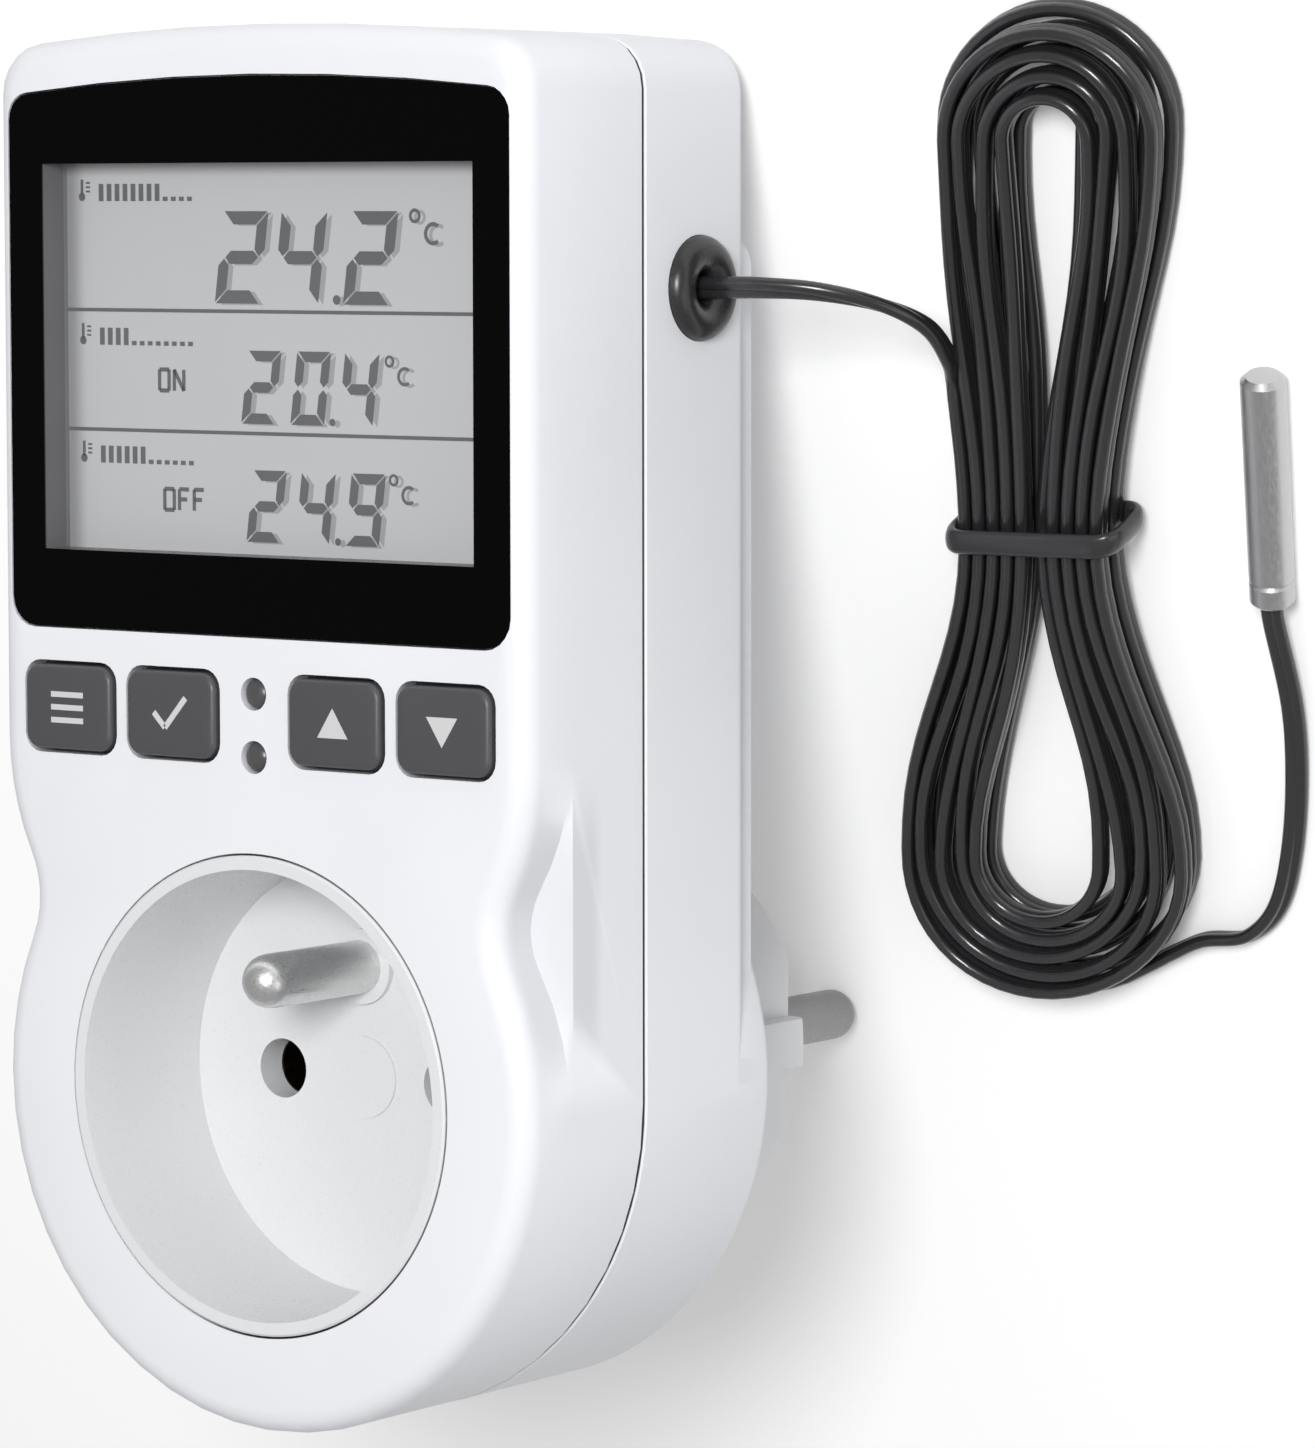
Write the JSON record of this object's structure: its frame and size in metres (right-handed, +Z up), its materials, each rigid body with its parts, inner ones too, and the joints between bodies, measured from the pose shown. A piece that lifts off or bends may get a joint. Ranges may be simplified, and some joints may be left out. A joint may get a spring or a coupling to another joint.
{
  "type": "plug-in temperature controller",
  "caption": "Plug-in temperature controller with a recessed display, push keys, a round earthed socket, a plug with round pins on the rear and a steel sensor on a hanked flat cord.",
  "frame": {"origin": "centre of the case's footprint on the table, with the case lying on its back on its two plug pins and its upper rear edge; the free cord is left out", "axes": "+X to the case's right, along its width; +Y along the table from the socket end to the display end; +Z up. The face normal is (0, 0.438, 0.899) and the plug points along the opposite direction"},
  "size_m": [0.1074, 0.1256, 0.0816],
  "materials": {
    "case_white": "fine satin moulded",
    "socket_white": "satin moulded",
    "plug_white": "satin moulded",
    "bezel_black": "glossy",
    "frame_grey": "matte",
    "display_glass": "satin reflective display, dark digits",
    "backlight_white": "matte",
    "strip_pink": "matte",
    "board_green": "satin lacquer",
    "chip_black": "matte",
    "switch_black": "matte",
    "key_grey": "satin",
    "plunger_red": "matte",
    "lamp_clear": "translucent, unlit",
    "relay_blue": "matte",
    "capacitor_yellow": "matte",
    "can_dark": "sleeved",
    "varistor_blue": "glazed",
    "coil_brown": "enamelled wire",
    "fuse_glass": "clear",
    "contact_brass": "bright",
    "pin_nickel": "nickel plated",
    "carrier_dark": "matte",
    "strap_steel": "plated",
    "wire_brown": "satin",
    "wire_blue": "satin",
    "screw_steel": "plated",
    "grommet_black": "satin",
    "cord_dark": "satin",
    "tie_black": "satin",
    "probe_steel": "polished"
  },
  "bodies": {
    "case": {"front_shell": "case_white", "rear_shell": "case_white", "bezel": "bezel_black", "lcd_frame": "frame_grey", "lcd_glass": "display_glass", "lcd_backlight": "backlight_white", "contact_strips": "strip_pink", "control_board": "board_green", "microcontroller": "chip_black", "key_switches": "switch_black", "power_lamp": "lamp_clear", "output_lamp": "lamp_clear", "board_header": "chip_black", "power_board": "board_green", "relay": "relay_blue", "safety_capacitor": "capacitor_yellow", "bulk_capacitor": "can_dark", "filter_capacitor": "can_dark", "varistor": "varistor_blue", "inductor": "coil_brown", "fuse": "fuse_glass", "rectifier": "chip_black", "sensor_socket": "socket_white", "sensor_core": "cord_dark", "socket_collar": "socket_white", "socket_floor": "socket_white", "earth_pin": "pin_nickel", "line_contact": "contact_brass", "neutral_contact": "contact_brass", "contact_carrier": "carrier_dark", "earth_strap": "strap_steel", "plug_body": "plug_white", "line_pin": "pin_nickel", "neutral_pin": "pin_nickel", "earth_sleeve": "contact_brass", "earth_bracket": "strap_steel", "line_wire": "wire_brown", "neutral_wire": "wire_blue", "load_wire": "wire_brown", "return_wire": "wire_blue", "case_screws": "screw_steel", "grommet": "grommet_black", "sensor_lead": "cord_dark", "lead_hank": "cord_dark", "probe_lead": "cord_dark", "hank_tie": "tie_black", "probe_sleeve": "probe_steel"},
    "mode_button": {"mode_key": "key_grey", "mode_plunger": "plunger_red"},
    "set_button": {"set_key": "key_grey", "set_plunger": "plunger_red"},
    "up_button": {"up_key": "key_grey", "up_plunger": "plunger_red"},
    "down_button": {"down_key": "key_grey", "down_plunger": "plunger_red"}
  },
  "joints": [
    {"name": "mode_press", "type": "slide", "parent": "case", "child": "mode_button", "axis": [0, -0.4377, -0.8991], "range_m": [0, 0.0005], "stiffness_N_per_m": 800},
    {"name": "set_press", "type": "slide", "parent": "case", "child": "set_button", "axis": [0, -0.4377, -0.8991], "range_m": [0, 0.0005], "stiffness_N_per_m": 800},
    {"name": "up_press", "type": "slide", "parent": "case", "child": "up_button", "axis": [0, -0.4377, -0.8991], "range_m": [0, 0.0005], "stiffness_N_per_m": 800},
    {"name": "down_press", "type": "slide", "parent": "case", "child": "down_button", "axis": [0, -0.4377, -0.8991], "range_m": [0, 0.0005], "stiffness_N_per_m": 800}
  ]
}
